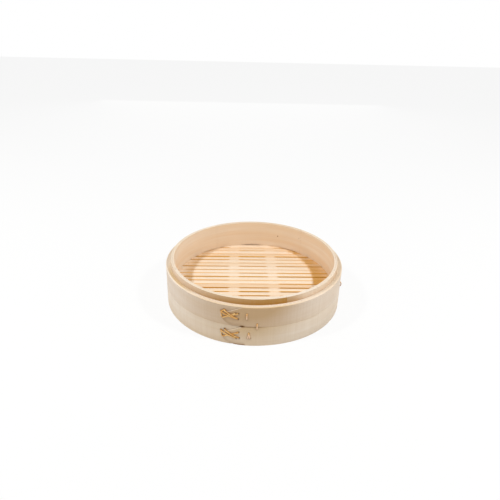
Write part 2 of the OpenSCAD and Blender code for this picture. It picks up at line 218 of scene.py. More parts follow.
# %% The lamps and the world
LAMPS = {
    # name: (direction and height above the table in degrees, distance in mm, size in mm, level)
    "key_left": (-157.0, 53.7, 1700, 100, 0.34),
    "key_right": (-28.0, 51.8, 1700, 100, 0.36),
    "side_left": (177.4, 25, 1500, 800, 0.15),
    "side_right": (-2.6, 25, 1500, 800, 0.14),
    "back": (90, 20, 1800, 1500, 0.14),
}
for name, (turn, rise, distance, size, level) in LAMPS.items():
    turn, rise, distance = math.radians(turn), math.radians(rise), distance * MM
    spot = Vector((math.cos(turn) * math.cos(rise), math.sin(turn) * math.cos(rise),
                   math.sin(rise))) * distance
    bpy.ops.object.light_add(type="AREA", location=spot)
    lamp = bpy.context.object
    lamp.name = name
    lamp.data.size = size * MM
    # At level 1, a surface that faces the lamp shows its colour as it is written.
    lamp.data.energy = level * math.pi ** 2 * distance ** 2
    lamp.rotation_euler = (-spot).to_track_quat("-Z", "Y").to_euler()

WORLD_LEVEL = 0.40
world = bpy.data.worlds.new("soft_room")
world.use_nodes = True
tree = world.node_tree
sky = tree.nodes["Background"]
sky.inputs["Color"].default_value = (1, 1, 1, 1)
sky.inputs["Strength"].default_value = WORLD_LEVEL
white_paper = add(tree, "Background", {"Color": (1, 1, 1, 1), "Strength": 1.0})
path = add(tree, "LightPath").outputs
room = add(tree, "MixShader", {0: path["Is Camera Ray"], 1: sky, 2: white_paper})
tree.links.new(room.outputs[0], tree.nodes["World Output"].inputs["Surface"])
bpy.context.scene.world = world
bpy.context.scene.view_settings.view_transform = "Standard"
print("lamps:", len(LAMPS))

# %% [markdown]
# ## Bamboo
#
# Bamboo has no rings and no knots inside a strip, only long straight fibres, so its picture is
# made of streaks that are very long and very thin. Noise that is squeezed almost a hundred times
# more across the fibres than along them gives those. Even a bent strip needs no coordinates of
# its own for that: both ways across the floor are long ways, and only the height is squeezed. Real
# fibres are a third of a millimetre wide. They are drawn 1.3 mm wide, the finest that still shows.
#
# Wide soft bands, where the strip was nearer the skin of the culm, change the tone slowly, and
# a few brown specks are left from its pores. The toothed roller that planes the outside leaves
# fine upright marks, which are drawn twice as wide as they are.
#
# Some things can't be worked out from a point's place, so they are marked on the points, as the
# attributes "foot" and "pared". "foot" is the honey colour of a strip's end that came from the foot
# of the culm, and also painted shade where the wall shades the slats and the hoop shades the
# ledge. "pared" is darker brown inside the tongue's round edge, and painted shade round the holes,
# in the open seam and under the lap.

# %% The bamboo recipe
# Colour of the marks "pared": brown at the tongue's round edge, painted shade at holes, seam, lap
PARED_AND_SHADE_BROWN, SPECK_BROWN = "#8C6232", "#8A5A33"
CLOUD_W, SPECK_CELL, TOOTH_W, TOOTH_RUN = 45, 16, 2.2, 70


def bamboo(name, pale, mid, deep, grain, roughness, streaks=1.0, specks=1.0, toothed=False,
           foot=None, seed=0.0, more=None):
    """Bamboo with fibres along the long ways of grain, which is in mm for x, y and z. foot is
    the colour of the marks "foot", and more gives one more share and its colour."""
    made, tree, shader = new_material(name)
    where = add(tree, "TexCoord").outputs["Object"]

    # Fibres: long thin streaks.
    fibres = add(tree, "Mapping", {"Vector": where, "Location": (seed, seed, seed),
                                   "Scale": [1 / (g * MM) for g in grain]})
    fibres = add(tree, "TexNoise", {"Vector": fibres, "Scale": 1.0, "Detail": 3.0,
                                    "Roughness": 0.65})
    # Bands: nine times as wide, and twice as long.
    bands = add(tree, "Mapping", {"Vector": where, "Location": (seed + 3, seed + 5, seed + 7),
                                  "Scale": [1 / (g * MM * (2 if g > 20 else 9)) for g in grain]})
    bands = add(tree, "TexNoise", {"Vector": bands, "Scale": 1.0, "Detail": 2.0})
    # Clouds: patches that the sun and the bleach left.
    clouds = add(tree, "TexNoise", {"Vector": where, "Scale": 1 / (CLOUD_W * MM), "Detail": 2.0})

    # Where each pattern starts and is full, how strong it gets, and its colour
    layers = []
    for pattern, start, full, most, tint in ((bands, 0.32, 0.68, 1.0, mid),
                                             (fibres, 0.5, 0.8, 0.5 * streaks, deep),
                                             (clouds, 0.35, 0.75, 0.25, mid)):
        share = add(tree, "MapRange", {"Value": pattern, "From Min": start, "From Max": full,
                                       "To Max": most})
        layers.append((share, tint))
    if foot:
        for mark, tint in (("foot", foot), ("pared", PARED_AND_SHADE_BROWN)):
            layers.append((add(tree, "Attribute", attribute_name=mark).outputs["Fac"], tint))
    if more:
        layers.append(more(tree, where))
    # Specks: a small spot in a few of many cells.
    if specks:
        cells = add(tree, "TexVoronoi", {"Vector": where, "Scale": 1 / (SPECK_CELL * MM)})
        spot = add(tree, "MapRange", {"Value": cells.outputs["Distance"], "From Min": 0.03,
                                      "From Max": 0.07, "To Min": 0.6, "To Max": 0.0})
        few = add(tree, "SeparateColor", {"Color": cells.outputs["Color"]})
        few = add(tree, "Math", {0: few, 1: 1 - 0.07 * specks}, operation="GREATER_THAN")
        layers.append((add(tree, "Math", {0: spot, 1: few}, operation="MULTIPLY"), SPECK_BROWN))
    height = add(tree, "Math", {0: fibres, 1: 0.5 * streaks}, operation="MULTIPLY")
    # Upright streaks of the roller's teeth.
    if toothed:
        teeth = [1 / (size * MM) for size in (TOOTH_W, TOOTH_W, TOOTH_RUN)]
        marks = add(tree, "Mapping", {"Vector": where, "Scale": teeth})
        marks = add(tree, "TexNoise", {"Vector": marks, "Scale": 1.0, "Detail": 1.0})
        marks = add(tree, "MapRange", {"Value": marks, "From Min": 0.35, "From Max": 0.65})
        layers.append((add(tree, "Math", {0: marks, 1: 0.12}, operation="MULTIPLY"), deep))
        height = add(tree, "Math", {0: marks, 1: 0.5, 2: height}, operation="MULTIPLY_ADD")

    colour = paint(pale)
    for share, tint in layers:
        colour = add(tree, "Mix", {"Factor": share, "A": colour, "B": paint(tint)}, data_type="RGBA")
    bump = add(tree, "Bump", {"Height": height, "Distance": 0.1 * MM, "Strength": 0.5})
    rough = add(tree, "MapRange", {"Value": fibres, "To Min": roughness - 0.08,
                                   "To Max": roughness + 0.12})
    tree.links.new(colour.outputs["Result"], shader.inputs["Base Color"])
    tree.links.new(bump.outputs[0], shader.inputs["Normal"])
    tree.links.new(rough.outputs[0], shader.inputs["Roughness"])
    return made


# %% [markdown]
# ## The bamboo finishes
#
# All the strips are the same bamboo, and how a face was cut decides its look. A planed face is
# matt and shows its fibres, a sanded one is smoother and paler, and a sawn edge is dull. The
# hoop's outside, on which the tiers slide, gets painted shade that darkens it towards the ledge,
# most of all where the strip was honey coloured anyway.

# %% The finishes of the wall
ROUND = (110, 110, 1.3)
PAINTED_SHADE_H = 8


def painted_shade_above_ledge(tree, where):
    """Painted shade: the hoop's outside gets darker towards the ledge, in the corner above it."""
    z = add(tree, "SeparateXYZ", {"Vector": where}).outputs["Z"]
    low = add(tree, "MapRange", {"Value": z, "From Min": ledge_z * MM, "To Min": 0.9,
                                 "From Max": (ledge_z + PAINTED_SHADE_H) * MM, "To Max": 0.0})
    honey = add(tree, "Attribute", attribute_name="foot").outputs["Fac"]
    honey = add(tree, "MapRange", {"Value": honey, "To Min": 0.1})
    return add(tree, "Math", {0: low, 1: honey}, operation="MULTIPLY"), "#AA751C"


# Planed with a toothed roller: greyish, half matt, with fine upright marks.
band_outside = bamboo("planed_bamboo_band", "#E1D2C2", "#DAC6AF", "#BD9C72", ROUND, 0.5,
                      toothed=True, streaks=0.6, foot="#C3A177")
band_lower = bamboo("planed_bamboo_band_lower", "#E6D8C7", "#DFCCB4", "#C5A47C", ROUND, 0.5,
                    toothed=True, streaks=0.6, foot="#D0B288", seed=9.0)
# Sanded: cream and smooth, with hardly a streak.
rim_top = bamboo("sanded_bamboo_rim", "#EDDDCA", "#E8D4B8", "#D3AE84", ROUND, 0.48, streaks=0.6,
                 specks=0)
# Planed by hand on the side of the soft flesh: warmer, without tooth marks.
rim_inside = bamboo("planed_bamboo_inside", "#F0DEC8", "#EBD1B0", "#D6AD81", ROUND, 0.5,
                    streaks=0.6, seed=4.0)
# Planed, then rubbed by the tiers that slide on: a little glossier.
# The darker foot above the ledge is painted shade.
rim_outside = bamboo("rubbed_bamboo_rim", "#ECD5BC", "#E4C9A9", "#C7A178", ROUND, 0.45,
                     toothed=True, streaks=0.6, foot="#B88638", more=painted_shade_above_ledge)
# Faces inside the wall: glue and steam make them brown and dull. The core's outer faces show only
# at the bottom of the holes, in the open seam and under the lap, and are painted darkest as the
# shade of those deep places.
honey_side = bamboo("glued_bamboo_side", "#C9974F", "#B1833F", "#7E5429", ROUND, 0.7)
painted_shade_core = bamboo("bamboo_core_painted_shade", "#9A6A3C", "#825528", "#5E3A1C", ROUND, 0.7)
# Sawn edges: the cut ends of the pores make them pale and matt. Their "foot" colour is honey on
# the bands, and painted shade on the core plies' edges in the ledge.
ply_edge = bamboo("sawn_bamboo_edge", "#F0E1CE", "#EAD6BA", "#D2B184", ROUND, 0.6, specks=0,
                  foot="#E4C79A")
print("bamboo finishes:", [m.name for m in bpy.data.materials if "bamboo" in m.name])

# %% [markdown]
# ## Sawing and bending
#
# A ring could be made by spinning its section, but then it would have no ends, and every ply of
# the real wall has two. So each strip starts as the maker's does: a straight bar, with x along
# it, y through it and z up. Its long edges are bevelled, it is cut into short lengths so
# that it can bend, and last of all every point moves from along the bar to round the circle.

# %% Choose a piece, and parts of it
def pick(piece):
    """Selects one piece and makes it the active one."""
    pick_clean()
    piece.select_set(True)
    bpy.context.view_layer.objects.active = piece


def pick_parts(piece, kind, test):
    """In edit mode, selects the edges or the faces of a piece that pass a test."""
    mesh = bmesh.from_edit_mesh(piece.data)
    bpy.ops.mesh.select_mode(type=kind)
    bpy.ops.mesh.select_all(action="DESELECT")
    for part in mesh.edges if kind == "EDGE" else mesh.faces:
        if test(part):
            part.select_set(True)
    mesh.select_flush_mode()
    bmesh.update_edit_mesh(piece.data)


def runs_along(edge, axis):
    """True for an edge that runs straight along an axis, 0, 1 or 2."""
    way = edge.verts[1].co - edge.verts[0].co
    return abs(way[axis]) > 0.999 * way.length


def edit_edges(piece, test, work, **settings):
    """Does one piece of work in edit mode, on the edges that pass a test."""
    bpy.ops.object.mode_set(mode="EDIT")
    pick_parts(piece, "EDGE", test)
    work(**settings)
    bpy.ops.object.mode_set(mode="OBJECT")


# %% Saw a bar, ease its edges, cut it
def bar(name, low, high):
    """A straight bar between two corners, in mm."""
    pick_clean()
    bpy.ops.mesh.primitive_cube_add(
        size=MM, location=[(a + b) / 2 * MM for a, b in zip(low, high)],
        scale=[b - a for a, b in zip(low, high)])
    piece = bpy.context.object
    piece.name = piece.data.name = name
    bpy.ops.object.transform_apply()
    return piece


def ease_long_edges(piece, ease, segments=3):
    """Rounds the four long edges of a bar."""
    edit_edges(piece, lambda e: runs_along(e, 0), bpy.ops.mesh.bevel, offset=ease * MM,
               segments=segments)


def cut_short(piece, lengths, axis=0):
    """Cuts a bar's long edges into equal lengths, so that it can bend."""
    edit_edges(piece, lambda e: runs_along(e, axis), bpy.ops.mesh.subdivide, number_cuts=lengths - 1)


def knife(point, out, cut_off=True, region=None):
    """In edit mode, cuts everything off on the side to which out points, and closes the cut.
    With cut_off False it only scores the faces, or those of a region."""
    piece = bpy.context.object
    if region:
        pick_parts(piece, "FACE", region)
    else:
        bpy.ops.mesh.select_all(action="SELECT")
    bpy.ops.mesh.bisect(plane_co=[c * MM for c in point], plane_no=out, clear_outer=cut_off,
                        use_fill=cut_off)


# %% Bend it
def bend(piece, start, place, reading_r, marks=None):
    """Bends a bar round. x becomes the direction: degrees from start, measured at reading_r.
    place gives a point's radius and height from its turn, depth and height. marks are functions
    of the same three that give the values of attributes."""
    painted = {name: piece.data.attributes.new(name, "FLOAT", "POINT") for name in marks or {}}
    for i, point in enumerate(piece.data.vertices):
        along, depth, up = point.co / MM
        turn = math.degrees(along / reading_r)
        for name, layer in painted.items():
            layer.data[i].value = marks[name](turn, depth, up)
        r, up = place(turn, depth, up)
        way = math.radians(start + turn)
        point.co = Vector((r * math.cos(way), r * math.sin(way), up)) * MM
    pick(piece)
    bpy.ops.object.mode_set(mode="EDIT")
    bpy.ops.mesh.select_all(action="SELECT")
    bpy.ops.mesh.normals_make_consistent()
    bpy.ops.object.mode_set(mode="OBJECT")


# %% Finish it
# A face that tilts up or down by more than this counts as an edge of the strip.
UP_SLOPE = 0.15


def finish_piece(piece, node, materials, which=None, smooth=35):
    """Smooth shading, materials, and the node for which the piece stands. which gives the number
    of a face's material, where there are several."""
    pick(piece)
    bpy.ops.object.shade_smooth_by_angle(angle=math.radians(smooth))
    piece.data.materials.clear()
    for made in materials:
        piece.data.materials.append(made)
    if which:
        for face in piece.data.polygons:
            face.material_index = which(face)
    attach(piece, "root")
    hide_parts(node)
    print(f"{piece.name}: {len(piece.data.polygons)} faces")


def out_up_in(face):
    """0 for the faces that look away from the axis, 1 up or down, 2 towards the axis."""
    if abs(face.normal.z) > UP_SLOPE:
        return 1
    return 0 if face.normal.xy.dot(face.center.xy) > 0 else 2


# %% Soft rises and falls
def ease_in(x, start, end):
    """0 before start, 1 after end, and a soft rise between."""
    t = min(max((x - start) / (end - start), 0), 1)
    return t * t * (3 - 2 * t)


def ease_out(x, start, end):
    """1 before start, 0 after end, and a soft fall between."""
    return 1 - ease_in(x, start, end)


print("half way, a soft rise has reached", ease_in(0.5, 0, 1))

# %% [markdown]
# ## The plain plies
#
# Seven strips are plain plies: the rim hoop has an outer ply, an inner one and a short splice
# between the inner one's ends, and the core and the support hoop under the floor have two each. A
# hand-bent strip is never quite even, so its edge wanders by a fraction of a millimetre, which
# keeps the highlights from looking turned on a lathe.
#
# Two plies are scraped thinner over part of their height: the hoop's outer one above the ledge, and
# the core's inner one in the socket under the floor. A tall face can't change half way up, so the
# straight strip is scored along the heights between which it changes, and only then bent.

# %% Make one ply
def ply(name, r_in, r_out, low, high, start, end, ease=EASE, wander=0.12, shape=None, marks=None,
        scores=()):
    """A strip bent round between two directions, with a small gap where its ends meet. wander
    is how far it strays from a true circle. shape may move a point on: it gets the direction in
    degrees, the radius and the height. scores are the heights between which it does."""
    mid = (r_in + r_out) / 2
    length = math.radians(end - start) * mid - JOINT_GAP
    piece = bar(name, (0, 0, low), (length, r_out - r_in, high))
    ease_long_edges(piece, ease)
    bpy.ops.object.mode_set(mode="EDIT")
    for z in scores:
        knife((0, 0, z), (0, 0, 1), cut_off=False)
    bpy.ops.object.mode_set(mode="OBJECT")
    cut_short(piece, round(length / 4))

    def place(turn, depth, up):
        way = start + turn
        x, y = math.cos(math.radians(way)), math.sin(math.radians(way))
        r = r_in + depth + wander * noise.noise(Vector((3 * x, 3 * y, 0.5)))
        up += wander * noise.noise(Vector((2 * x, 2 * y, high)))
        return shape(way, r, up) if shape else (r, up)

    bend(piece, start + math.degrees(JOINT_GAP / 2 / mid), place, mid, marks)
    return piece


# %% Rim hoop
SPLICE_FROM, SPLICE_TO, RIM_JOINT = 47, 120, -71.7
FOOT_TURN = 93
# Where the inner plies don't reach down to the slats: direction and reach in degrees
LIFTED_AT, LIFTED_BY = ((57, 9), (128, 10)), 0.9


def scraped(way, r, up):
    """The outer ply: what stands above the ledge is scraped thinner, so that tiers slide on."""
    if up > ledge_z and r > rim_mid + RIM_PLY_T / 2:
        r -= RIM_PARE * ease_in(up, ledge_z, scrape_to)
    return r, up


def lifted(way, r, up):
    """The inner plies: in two places at the back they don't quite reach down to the slats."""
    if up < floor_top + 1:
        for middle, reach in LIFTED_AT:
            up += LIFTED_BY * ease_out(abs((way - middle + 180) % 360 - 180), reach * 0.4, reach)
    return r, up


def honey_end(turn, depth, up):
    """1 at the strip's last end, which came from the foot of the culm, and some at its first."""
    return max(ease_out(360 - turn, 5, FOOT_TURN), 0.65 * ease_out(turn, 0, 16))


rim_inner = ply("hoop_ply_inner", rim_in, rim_in + RIM_PLY_T, floor_top, rim_z,
                SPLICE_TO, SPLICE_FROM + 360, shape=lifted)
rim_splice = ply("hoop_splice", rim_in, rim_in + RIM_PLY_T, floor_top, splice_z,
                 SPLICE_FROM, SPLICE_TO, shape=lifted)
rim_outer = ply("hoop_ply_outer", rim_mid, hoop_r, floor_top, rim_z,
                RIM_JOINT, RIM_JOINT + 360, shape=scraped, marks={"foot": honey_end},
                scores=(ledge_z, scrape_to))
for piece, node, sides in ((rim_inner, "rim_ply_inner", [honey_side, rim_top, rim_inside]),
                           (rim_splice, "rim_splice", [honey_side, rim_top, rim_inside]),
                           (rim_outer, "rim_ply_outer", [rim_outside, rim_top, honey_side])):
    finish_piece(piece, node, sides, out_up_in)


# %% Core of the wall
CORE_EASE, CORE_WANDER = 0.05, 0.02


def painted_ledge_shade(start):
    """Painted shade on the ply's top edge in the ledge: strong at the left, where the hoop shades
    the ledge, and faint at the front, at the hoop's foot. It is kept as the mark "foot".
    """
    def mark(turn, depth, up):
        way = (start + turn + 180) % 360 - 180
        return max(ease_out(abs(way + 152), 6, 26), 0.3 * ease_out(abs(way + 99), 4, 14))
    return {"foot": mark}


def socketed(way, r, up):
    """The inner ply: under the support hoop it is scraped too, for the rim of the tier below."""
    if r < core_a_in + CORE_T / 2:
        r += SOCKET_PARE * ease_out(up, socket_low, socket_z)
    return r, up


core_inner = ply("wall_core_inner", hoop_r + 0.05, core_b_in - 0.05, 0, ledge_z, 85, 85 + 360,
                 ease=CORE_EASE, wander=CORE_WANDER, shape=socketed, marks=painted_ledge_shade(85),
                 scores=(socket_low, socket_z))
core_outer = ply("wall_core_outer", core_b_in, band_in - 0.03, core_low, ledge_z - CORE_DROP, 45,
                 45 + 360, ease=CORE_EASE, wander=CORE_WANDER, marks=painted_ledge_shade(45))
for piece, node in ((core_inner, "core_ply_inner"), (core_outer, "core_ply_outer")):
    finish_piece(piece, node, [painted_shade_core, ply_edge, honey_side], out_up_in)

# %% [markdown]
# ## The outer bands
#
# Each outer band is one strip a metre long that goes once round and then laps over its own
# beginning. The lap is what makes it look made by hand: the outer end is whittled to a tongue
# and thinned, and the inner end is thinned under it. The tongue is straight-sided only in the
# flat, so it isn't carved out of a ring but cut there, one straight knife cut after another, each
# made by bisecting the bar with a plane.
#
# The holes for the cane are drilled in the flat too. Where the strip laps, the awl goes through
# both layers, so each hole is drilled twice, once near either end. The strip is then cut into
# short lengths, and both its ends into small squares, which can be pared and marked one by one.

# %% Sizes of the lap, in mm and degrees
TIP_DIR, LAP = -110.0, 30.0
# How far the tip stands proud, the gaps under it, and the thickness of the hidden end
TIP_RISE, LAP_GAP, UNDER_GAP, HIDDEN_END_T = 1.6, 0.15, 0.1, 0.4
# The tongue: its lower and upper edge at the tip, its length, and the pull on its round edge
TIP_LOW, TIP_HIGH, TIP_RUN, TIP_PULL = 12.5, 20.0, 31.0, 4.5
PARED_W, BAND_EASE = 7.0, 0.45
skin_mm = math.radians(1) * outer_r
round_mm = 360 * skin_mm
strip_mm = (360 + LAP) * skin_mm
upper_h = ledge_z - seam_high
print(f"one degree of the wall is {skin_mm:.2f} mm, a strip is {strip_mm:.0f} mm long")


# %% The tongue's edges
def tongue_curve(steps):
    """The round lower edge of the tongue, from its tip to the band's lower edge."""
    tip, end = Vector((0, TIP_LOW)), Vector((TIP_RUN, 0))
    pull = Vector((TIP_PULL, 0))
    return [tip * (1 - t) ** 2 + pull * 2 * t * (1 - t) + end * t ** 2
            for t in [i / steps for i in range(steps + 1)]]


FINE_CURVE = tongue_curve(30)


def from_round_edge(turn, up):
    """Distance from the tongue's round lower edge, in mm."""
    here = Vector((turn * skin_mm, up))
    return min((here - c).length for c in FINE_CURVE) if here.x < 2 * TIP_RUN else 99.0


def from_straight_edge(turn, up):
    """Distance from the tongue's straight upper edge, in mm."""
    here = Vector((turn * skin_mm, up - TIP_HIGH))
    rise = Vector((TIP_RUN, upper_h - TIP_HIGH))
    return abs(rise.x * here.y - rise.y * here.x) / rise.length if here.x < TIP_RUN else 99.0


def pared(turn, up):
    """How much is whittled off inside the tongue's edges: 1 at the edge, 0 further in."""
    return max(ease_out(from_round_edge(turn, up), 1.0, PARED_W),
               0.6 * ease_out(from_straight_edge(turn, up), 0.2, 2.4))


print("the round edge runs from", [tuple(round(c, 1) for c in FINE_CURVE[i]) for i in (0, -1)])


# %% Where a band's points go
def lap_skin(turn):
    """Radius of the outside at some degrees past the tongue's tip."""
    left = max(LAP - max(turn, 0), 0) / LAP
    return outer_r + TIP_RISE * left ** 2


def under_skin(turn):
    """Radius of the face on which the tongue lies."""
    return outer_r - UNDER_GAP - (BAND_T - UNDER_GAP - HIDDEN_END_T) * turn / LAP


def gape(along):
    """How far the seam opens: a small eye where the tongue begins, then a fine dark line."""
    eye = math.exp(-((along - TIP_RUN) / 3.2) ** 2)
    line = 0.38 * ease_in(along, TIP_RUN - 9, TIP_RUN) * ease_out(along, 50, 75)
    return eye + line


def band_place(low, high, lift):
    """Where a point of a band goes. lift says how far its lower edge strays."""
    def place(turn, depth, up):
        # The edges that lie against the core are hardly rounded.
        lost = 0.9 * BAND_EASE * min(depth / BAND_EASE, (BAND_T - depth) / (BAND_T - BAND_EASE))
        share = (depth - lost) / BAND_T
        over = up - low
        if turn < LAP:
            thin = pared(turn, over)
            inside = under_skin(turn) + LAP_GAP + 0.5 * thin
            outside = lap_skin(turn) - 0.5 * thin
            outside = max(outside, inside + 0.3)
        elif turn <= 360:
            inside, outside = band_in, outer_r
        else:
            inside, outside = band_in, under_skin(turn - 360)
        return inside + share * (outside - inside), up + lift(turn, over)
    return place


print(f"the tip stands {lap_skin(0) - outer_r:.1f} mm proud, the seam gapes {gape(TIP_RUN):.1f} mm")

# %% Where the cane goes through: [along, up] in mm from the middle of each lacing
LACE_HOLE_D = 2.8
LACE_ALONG, LACE_RAISE = 4.6 * skin_mm, 1.35
UPPER_HOLES = [(-14, 5), (-8.4, 8), (-12, -5.5), (9, 5), (13.4, 4.9), (12.9, -5)]
LOWER_HOLES = [(-14, 5), (-8.1, 7.6), (-12, -5.5), (14, 5.5), (10.1, -5.9), (14.8, -5)]
STITCH_LEN, STITCH_DROP, FORK_W = 9.6, 15.8, 3.6
upper_mid = (seam_high + ledge_z) / 2 + LACE_RAISE
lower_mid = seam_low / 2 + LACE_RAISE
stitch_upper_at = (14.4 * skin_mm, ledge_z - STITCH_DROP)
stitch_lower_at = (15.7 * skin_mm, seam_low - STITCH_DROP)
stitch_seam_at = (20.3 * skin_mm, seam_low + STITCH_LEN / 7)
stitch_side_at = (95.7 * skin_mm, seam_high + upper_h / 4)


def stitch_holes(at, forked=False):
    """The holes of an upright stitch, the upper one first."""
    x, z = at
    below = [-FORK_W / 2, FORK_W / 2] if forked else [0]
    return [(x, z + STITCH_LEN / 2)] + [(x + b, z - STITCH_LEN / 2) for b in below]


upper_lace = [(LACE_ALONG + x, upper_mid + z) for x, z in UPPER_HOLES]
lower_lace = [(LACE_ALONG + x, lower_mid + z) for x, z in LOWER_HOLES]
upper_drill = upper_lace + stitch_holes(stitch_upper_at) + stitch_holes(stitch_seam_at)[:1] \
    + stitch_holes(stitch_side_at)
lower_drill = lower_lace + stitch_holes(stitch_lower_at, True) + stitch_holes(stitch_seam_at)[1:]
print("holes:", len(upper_drill), "in the upper band,", len(lower_drill), "in the lower")


# %% Whittle and drill
def whittle_tongue(low, high):
    """Cuts the outer end to a tongue: straight above, round below."""
    bpy.ops.object.mode_set(mode="EDIT")
    below = tongue_curve(9)
    for a, b in zip(below, below[1:]):
        way = (b - a).normalized()
        knife((a.x, 0, low + a.y), (way.y, 0, -way.x))
    a, b = Vector((0, TIP_HIGH)), Vector((TIP_RUN, high - low))
    way = (b - a).normalized()
    knife((a.x, 0, low + a.y), (-way.y, 0, way.x))
    bpy.ops.object.mode_set(mode="OBJECT")


def cut_with(piece, cutter, operation="DIFFERENCE"):
    """A boolean cut, applied, after which the cutter is thrown away."""
    pick(piece)
    cut = piece.modifiers.new("cut", "BOOLEAN")
    cut.operation = operation
    cut.solver = "EXACT"
    cut.object = cutter
    bpy.ops.object.modifier_apply(modifier=cut.name)
    bpy.data.objects.remove(cutter)


def drill(piece, holes):
    """Drills round holes through a straight outer band."""
    bits = []
    pick_clean()
    for x, z in holes:
        bpy.ops.mesh.primitive_cylinder_add(vertices=20, radius=LACE_HOLE_D / 2 * MM,
                                            depth=3 * BAND_T * MM, rotation=(math.pi / 2, 0, 0),
                                            location=(x * MM, BAND_T / 2 * MM, z * MM))
        bits.append(bpy.context.object)
    for bit in bits:
        bit.select_set(True)
    bpy.ops.object.join()
    cut_with(piece, bpy.context.object)


def round_all_edges(piece, width, limit=40):
    """Takes the sharpness off every edge that turns by more than a limit in degrees."""
    pick(piece)
    soften = piece.modifiers.new("soften", "BEVEL")
    soften.width = width * MM
    soften.segments = 2
    soften.limit_method = "ANGLE"
    soften.angle_limit = math.radians(limit)
    bpy.ops.object.modifier_apply(modifier=soften.name)


# %% Slice the strip
FINE_STEP, COARSE_STEP, SQUARE = 1.5, 4.0, 1.7
FINE_TO, SQUARES_TO, FINE_FROM = 86, 80, 350 * skin_mm


def in_squares(face):
    """True for a face at the tongue or at the other end of a strip."""
    along = [corner.co.x / MM for corner in face.verts]
    return max(along) < SQUARES_TO or min(along) > FINE_FROM


def slice_along(low, high):
    """Cuts the strip into short lengths, so that it can bend, and both ends into squares."""
    bpy.ops.object.mode_set(mode="EDIT")
    x = FINE_STEP
    while x < strip_mm - 2:
        knife((x, 0, 0), (1, 0, 0), cut_off=False)
        x += FINE_STEP if x < FINE_TO or x > FINE_FROM else COARSE_STEP
    for i in range(1, round((high - low) / SQUARE)):
        knife((0, 0, low + i * SQUARE), (0, 0, 1), cut_off=False, region=in_squares)
    bpy.ops.object.mode_set(mode="OBJECT")


print(f"squares of {SQUARE} mm up to {SQUARES_TO} mm and from {FINE_FROM:.0f} mm")

# %% Make one outer band
# How dark the painted shade round the holes is, at the lacing and at the stitch beside it, and
# how far from the tip these lie
LACE_HOLE_SHADE, LACE_REACH = 0.4, 30
STITCH_HOLE_SHADE, STITCH_REACH = 0.1, 60


def outer_band(name, low, high, holes, lift, foot_len, foot_share, foot_slope):
    """One outer band, from the bar to the bent strip. It is honey coloured for foot_len, by
    foot_share, and foot_slope makes that stronger towards its upper edge."""
    piece = bar(name, (0, 0, low), (strip_mm, BAND_T, high))
    whittle_tongue(low, high)
    both_ends = holes + [(x + round_mm, z) for x, z in holes if x < LAP * skin_mm]
    drill(piece, both_ends)
    round_all_edges(piece, BAND_EASE)
    slice_along(low, high)

    def honey(turn, depth, up):
        """1 near the tongue, which was the foot of the culm, and a little at the other end. Along
        the tongue's straight upper edge it is less, which leaves a pale line there: a painted
        highlight where that bevel catches the light."""
        share = foot_share * ease_out(turn * skin_mm, foot_len * 0.3, foot_len)
        share *= 1 + foot_slope * ((up - low) / (high - low) - 0.5)
        share *= 0.25 + 0.75 * ease_in(from_straight_edge(turn, up - low), 0.3, 1.2)
        return max(share, 0.6 * foot_share * ease_in(turn, 318, 366))

    def cut(turn, depth, up):
        """Darker brown inside the tongue's round edge, and painted shade: round the holes, along the
        edges where the bands gape, and on the hidden end's lower edge under the lap."""
        along = turn % 360 * skin_mm
        near_tip = min(along, round_mm - along)
        # Painted shade round the holes.
        hole_shade = LACE_HOLE_SHADE if near_tip < LACE_REACH else STITCH_HOLE_SHADE if along < STITCH_REACH else 0.0
        past_rim = min(math.hypot(turn * skin_mm - x, up - z) for x, z in both_ends) - LACE_HOLE_D / 2
        hole_shade *= ease_out(past_rim, 0.1, 0.9)
        # Painted shade along the edges where the bands gape.
        seam = min(1.2 * gape(along), 1) * ease_out(abs(up - (low if low else high)), 0.3, 0.9)
        # Painted shade on the lower band's hidden end, along the table under the lap.
        lap_foot_shade = 0.0 if low else (ease_in(along, 10, 18) * ease_out(along, 34, 38)
                               * ease_out(up, 1.2, 2.8))
        whittled = 0.3 * ease_out(from_round_edge(turn, up - low), 1.0, PARED_W)
        return max(whittled, hole_shade, seam, lap_foot_shade)

    # "pared" holds the darker brown at the tongue's round edge and the painted shade.
    bend(piece, TIP_DIR, band_place(low, high, lift), outer_r, {"foot": honey, "pared": cut})
    return piece


# %% The two bands
def upper_lift(turn, over):
    """The upper band: its lower edge lies clear of the lower band beside the lap."""
    return gape(turn % 360 * skin_mm) * ease_out(over, 0, 5)


def lower_lift(turn, over):
    """The lower band: its hidden end doesn't reach the table, which leaves a dark gap."""
    along = turn * skin_mm - round_mm
    return 2.2 * ease_in(along, 12, 22) * ease_out(along, 30, 36) * ease_out(over, 0, 6)


band_upper = outer_band("wall_band_upper", seam_high, ledge_z, upper_drill, upper_lift, 160, 1.0, 0.7)
band_low = outer_band("wall_band_lower", 0, seam_low, lower_drill, lower_lift, 135, 0.68, 1.2)
for piece, node, outside in ((band_upper, "outer_band_upper", band_outside),
                             (band_low, "outer_band_lower", band_lower)):
    finish_piece(piece, node, [outside, ply_edge, honey_side], out_up_in)

# %% [markdown]
# ## Split cane
#
# The laps are tied down with split cane: the outer skin of rattan, golden, a little waxy and
# harder than the bamboo, so it shines where it bends over the edge of a hole. Its rolled edges
# are painted darker, as painted shade, and a pattern on the object's coordinates can't follow
# them, because the strands lie in all directions. So each strand carries one attribute that says
# how far across it a point is, and another that says how much of its skin is rubbed off there.

# %% The cane
# Rattan skin, split and shaved: a waxy gloss over fine lines that run along the strand.
cane_gold, tree, shader = new_material("split_rattan_cane")
where = add(tree, "TexCoord").outputs["Object"]
across = add(tree, "Attribute", attribute_name="across").outputs["Fac"]
worn = add(tree, "Attribute", attribute_name="worn").outputs["Fac"]
patches = add(tree, "TexNoise", {"Vector": where, "Scale": 1 / (5 * MM), "Detail": 2.0})
patches = add(tree, "MapRange", {"Value": patches, "From Min": 0.35, "From Max": 0.65})
